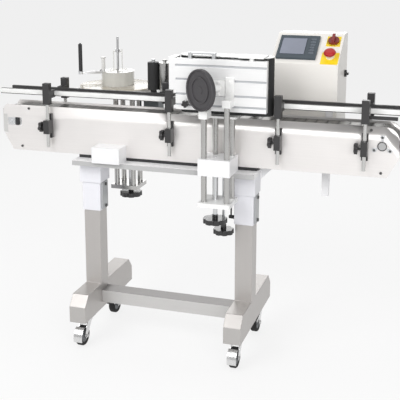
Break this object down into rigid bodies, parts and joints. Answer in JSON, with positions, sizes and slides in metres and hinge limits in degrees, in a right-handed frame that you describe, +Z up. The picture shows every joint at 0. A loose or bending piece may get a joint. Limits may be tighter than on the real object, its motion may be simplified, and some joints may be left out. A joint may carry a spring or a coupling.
{
  "type": "wrap-around labeling machine",
  "caption": "Free-standing wrap-around labelling machine: slat conveyor with guide rails, wrap belt unit, label head and control box on a castered height-adjustable stand",
  "frame": {"origin": "on the floor under the middle of the machine's outline", "axes": "+X runs along the conveyor in the direction of travel, +Y away from the operator, +Z up"},
  "size_m": [1.495, 0.6043, 1.1581],
  "materials": {
    "stand_paint": "satin",
    "bar_paint": "satin",
    "caster_steel": "zinc plated",
    "fork_paint": "satin",
    "tyre_rubber": "matt",
    "white_paint": "satin",
    "clamp_grey": "satin",
    "panel_steel": "fine brushed",
    "plain_steel": "machined",
    "wear_plastic": "matt",
    "motor_grey": "satin",
    "rail_white": "satin",
    "rail_black": "satin",
    "post_chrome": "polished",
    "wrap_alloy": "anodised",
    "belt_black": "matt",
    "knob_black": "satin",
    "head_alloy": "anodised",
    "platter_clear": "polished",
    "core_ivory": "polished",
    "box_beige": "satin",
    "screen_grey": "satin",
    "switch_red": "polished"
  },
  "bodies": {
    "stand": {"left_leg": "stand_paint", "right_leg": "stand_paint", "crossbar": "bar_paint", "caster_plates": "caster_steel"},
    "fork_front_left": {"fork_front_left": "fork_paint"},
    "wheel_front_left": {"wheel_front_left": "tyre_rubber"},
    "fork_front_right": {"fork_front_right": "fork_paint"},
    "wheel_front_right": {"wheel_front_right": "tyre_rubber"},
    "fork_rear_left": {"fork_rear_left": "fork_paint"},
    "wheel_rear_left": {"wheel_rear_left": "tyre_rubber"},
    "fork_rear_right": {"fork_rear_right": "fork_paint"},
    "wheel_rear_right": {"wheel_rear_right": "tyre_rubber"},
    "upper": {"leg_sleeves": "white_paint", "leg_clamps": "clamp_grey", "base_plate": "white_paint", "front_box": "white_paint", "front_panel": "panel_steel", "rear_panel": "panel_steel", "conveyor_spacers": "plain_steel", "slat_chain": "plain_steel", "chain_bed": "wear_plastic", "shaft_bearings": "plain_steel", "gearmotor": "motor_grey", "rail_clamps": "wear_plastic", "head_block": "head_alloy", "control_box": "box_beige", "box_bracket": "white_paint", "touch_panel": "screen_grey", "leg_cable": "wear_plastic"},
    "drive_roll": {"drive_shaft": "plain_steel"},
    "idler_roll": {"idler_shaft": "plain_steel"},
    "rail_front_left": {"front_left_rail": "rail_white"},
    "rail_front_right": {"front_right_rail": "rail_white"},
    "rail_rear": {"rear_rail": "rail_black"},
    "wrap_slide": {"guide_block": "white_paint"},
    "wrap_unit": {"lift_posts": "post_chrome", "wrap_panel": "wrap_alloy", "wrap_frame": "wrap_alloy", "wrap_belt": "belt_black", "wrap_motor": "motor_grey", "wrap_handles": "knob_black", "wheel_bracket": "wrap_alloy"},
    "lift_handwheel": {"lift_wheel": "knob_black"},
    "cross_handwheel": {"cross_wheel": "knob_black"},
    "wrap_drive": {"wrap_drive_roller": "wrap_alloy"},
    "wrap_idler": {"wrap_idler_roller": "wrap_alloy"},
    "face_wheel": {"black_wheel": "knob_black"},
    "label_head": {"head_column": "plain_steel", "head_plate": "head_alloy", "peel_plate": "plain_steel", "head_motor": "motor_grey"},
    "head_handwheel": {"head_wheel": "knob_black"},
    "reel": {"supply_platter": "platter_clear", "core_holder": "core_ivory"},
    "dancer": {"dancer_arm": "knob_black"},
    "feed_rubber": {"rubber_roller": "belt_black"},
    "feed_chrome": {"chrome_roller": "post_chrome"},
    "stop": {"stop_button": "switch_red"},
    "switch": {"main_switch": "switch_red"},
    "latch": {"box_latch": "knob_black"}
  },
  "joints": [
    {"name": "swivel_front_left", "type": "hinge", "parent": "stand", "child": "fork_front_left", "pos_m": [-0.374, -0.207, 0.088], "axis": [0, 0, 1], "continuous": true},
    {"name": "roll_front_left", "type": "hinge", "parent": "fork_front_left", "child": "wheel_front_left", "pos_m": [-0.374, -0.242, 0.037], "axis": [1, 0, 0], "continuous": true},
    {"name": "swivel_front_right", "type": "hinge", "parent": "stand", "child": "fork_front_right", "pos_m": [0.216, -0.207, 0.088], "axis": [0, 0, 1], "continuous": true},
    {"name": "roll_front_right", "type": "hinge", "parent": "fork_front_right", "child": "wheel_front_right", "pos_m": [0.216, -0.242, 0.037], "axis": [1, 0, 0], "continuous": true},
    {"name": "swivel_rear_left", "type": "hinge", "parent": "stand", "child": "fork_rear_left", "pos_m": [-0.374, 0.103, 0.088], "axis": [0, 0, 1], "continuous": true},
    {"name": "roll_rear_left", "type": "hinge", "parent": "fork_rear_left", "child": "wheel_rear_left", "pos_m": [-0.374, 0.068, 0.037], "axis": [1, 0, 0], "continuous": true},
    {"name": "swivel_rear_right", "type": "hinge", "parent": "stand", "child": "fork_rear_right", "pos_m": [0.216, 0.103, 0.088], "axis": [0, 0, 1], "continuous": true},
    {"name": "roll_rear_right", "type": "hinge", "parent": "fork_rear_right", "child": "wheel_rear_right", "pos_m": [0.216, 0.068, 0.037], "axis": [1, 0, 0], "continuous": true},
    {"name": "height_slide", "type": "slide", "parent": "stand", "child": "upper", "axis": [0, 0, 1], "range_m": [0, 0.08]},
    {"name": "drive_spin", "type": "hinge", "parent": "upper", "child": "drive_roll", "pos_m": [0.69, -0.077, 0.816], "axis": [0, 1, 0], "continuous": true},
    {"name": "idler_spin", "type": "hinge", "parent": "upper", "child": "idler_roll", "pos_m": [-0.669, -0.077, 0.816], "axis": [0, 1, 0], "continuous": true},
    {"name": "front_left_rail_height", "type": "slide", "parent": "upper", "child": "rail_front_left", "axis": [0, 0, 1], "range_m": [-0.008, 0.03]},
    {"name": "front_right_rail_height", "type": "slide", "parent": "upper", "child": "rail_front_right", "axis": [0, 0, 1], "range_m": [-0.008, 0.03]},
    {"name": "rear_rail_height", "type": "slide", "parent": "upper", "child": "rail_rear", "axis": [0, 0, 1], "range_m": [-0.008, 0.03]},
    {"name": "wrap_cross_slide", "type": "slide", "parent": "upper", "child": "wrap_slide", "axis": [0, 1, 0], "range_m": [-0.025, 0]},
    {"name": "wrap_lift_slide", "type": "slide", "parent": "wrap_slide", "child": "wrap_unit", "axis": [0, 0, 1], "range_m": [0, 0.07]},
    {"name": "lift_wheel_spin", "type": "hinge", "parent": "wrap_unit", "child": "lift_handwheel", "pos_m": [0.129, -0.1955, 0.52], "axis": [0, 0, 1], "range_deg": [0, 3160]},
    {"name": "cross_wheel_spin", "type": "hinge", "parent": "wrap_unit", "child": "cross_handwheel", "pos_m": [0.147, -0.15, 0.47], "axis": [0, 0, 1], "range_deg": [-1130, 0]},
    {"name": "wrap_drive_spin", "type": "hinge", "parent": "wrap_unit", "child": "wrap_drive", "pos_m": [0.02, -0.126, 1], "axis": [0, 0, 1], "continuous": true},
    {"name": "wrap_idler_spin", "type": "hinge", "parent": "wrap_unit", "child": "wrap_idler", "pos_m": [0.281, -0.126, 1], "axis": [0, 0, 1], "continuous": true},
    {"name": "black_wheel_spin", "type": "hinge", "parent": "wrap_unit", "child": "face_wheel", "pos_m": [0.095, -0.258, 0.994], "axis": [0.5592, 0.829, 0], "continuous": true},
    {"name": "head_lift_slide", "type": "slide", "parent": "upper", "child": "label_head", "axis": [0, 0, 1], "range_m": [0, 0.06]},
    {"name": "head_wheel_spin", "type": "hinge", "parent": "label_head", "child": "head_handwheel", "pos_m": [-0.291, 0.058, 0.515], "axis": [0, 0, 1], "range_deg": [0, 2710]},
    {"name": "reel_spin", "type": "hinge", "parent": "label_head", "child": "reel", "pos_m": [-0.375, 0.148, 0.92], "axis": [0, 0, 1], "continuous": true},
    {"name": "dancer_swing", "type": "hinge", "parent": "label_head", "child": "dancer", "pos_m": [-0.492, 0.27, 0.958], "axis": [0, 0, 1], "range_deg": [-20, 20]},
    {"name": "rubber_roller_spin", "type": "hinge", "parent": "label_head", "child": "feed_rubber", "pos_m": [-0.207, 0.098, 0.97], "axis": [0, 0, 1], "continuous": true},
    {"name": "chrome_roller_spin", "type": "hinge", "parent": "label_head", "child": "feed_chrome", "pos_m": [-0.1597, 0.098, 0.97], "axis": [0, 0, 1], "continuous": true},
    {"name": "stop_push", "type": "slide", "parent": "upper", "child": "stop", "axis": [0, -0.5428, 0.8399], "range_m": [-0.004, 0], "stiffness_N_per_m": 900},
    {"name": "main_switch_turn", "type": "hinge", "parent": "upper", "child": "switch", "pos_m": [0.477, 0.13218, 1.12856], "axis": [0, -0.5428, 0.8399], "range_deg": [-90, 0]},
    {"name": "latch_turn", "type": "hinge", "parent": "upper", "child": "latch", "pos_m": [0.511, 0.194, 1.006], "axis": [1, 0, 0], "range_deg": [0, 90]}
  ],
  "couplings": [
    {"joint": "idler_spin", "follows": "drive_spin", "ratio": 1},
    {"joint": "wrap_idler_spin", "follows": "wrap_drive_spin", "ratio": 1},
    {"joint": "chrome_roller_spin", "follows": "rubber_roller_spin", "ratio": -0.91837},
    {"joint": "lift_wheel_spin", "follows": "wrap_lift_slide", "rad_per_m": 785.4},
    {"joint": "cross_wheel_spin", "follows": "wrap_cross_slide", "rad_per_m": 785.4},
    {"joint": "head_wheel_spin", "follows": "head_lift_slide", "rad_per_m": 785.4}
  ]
}
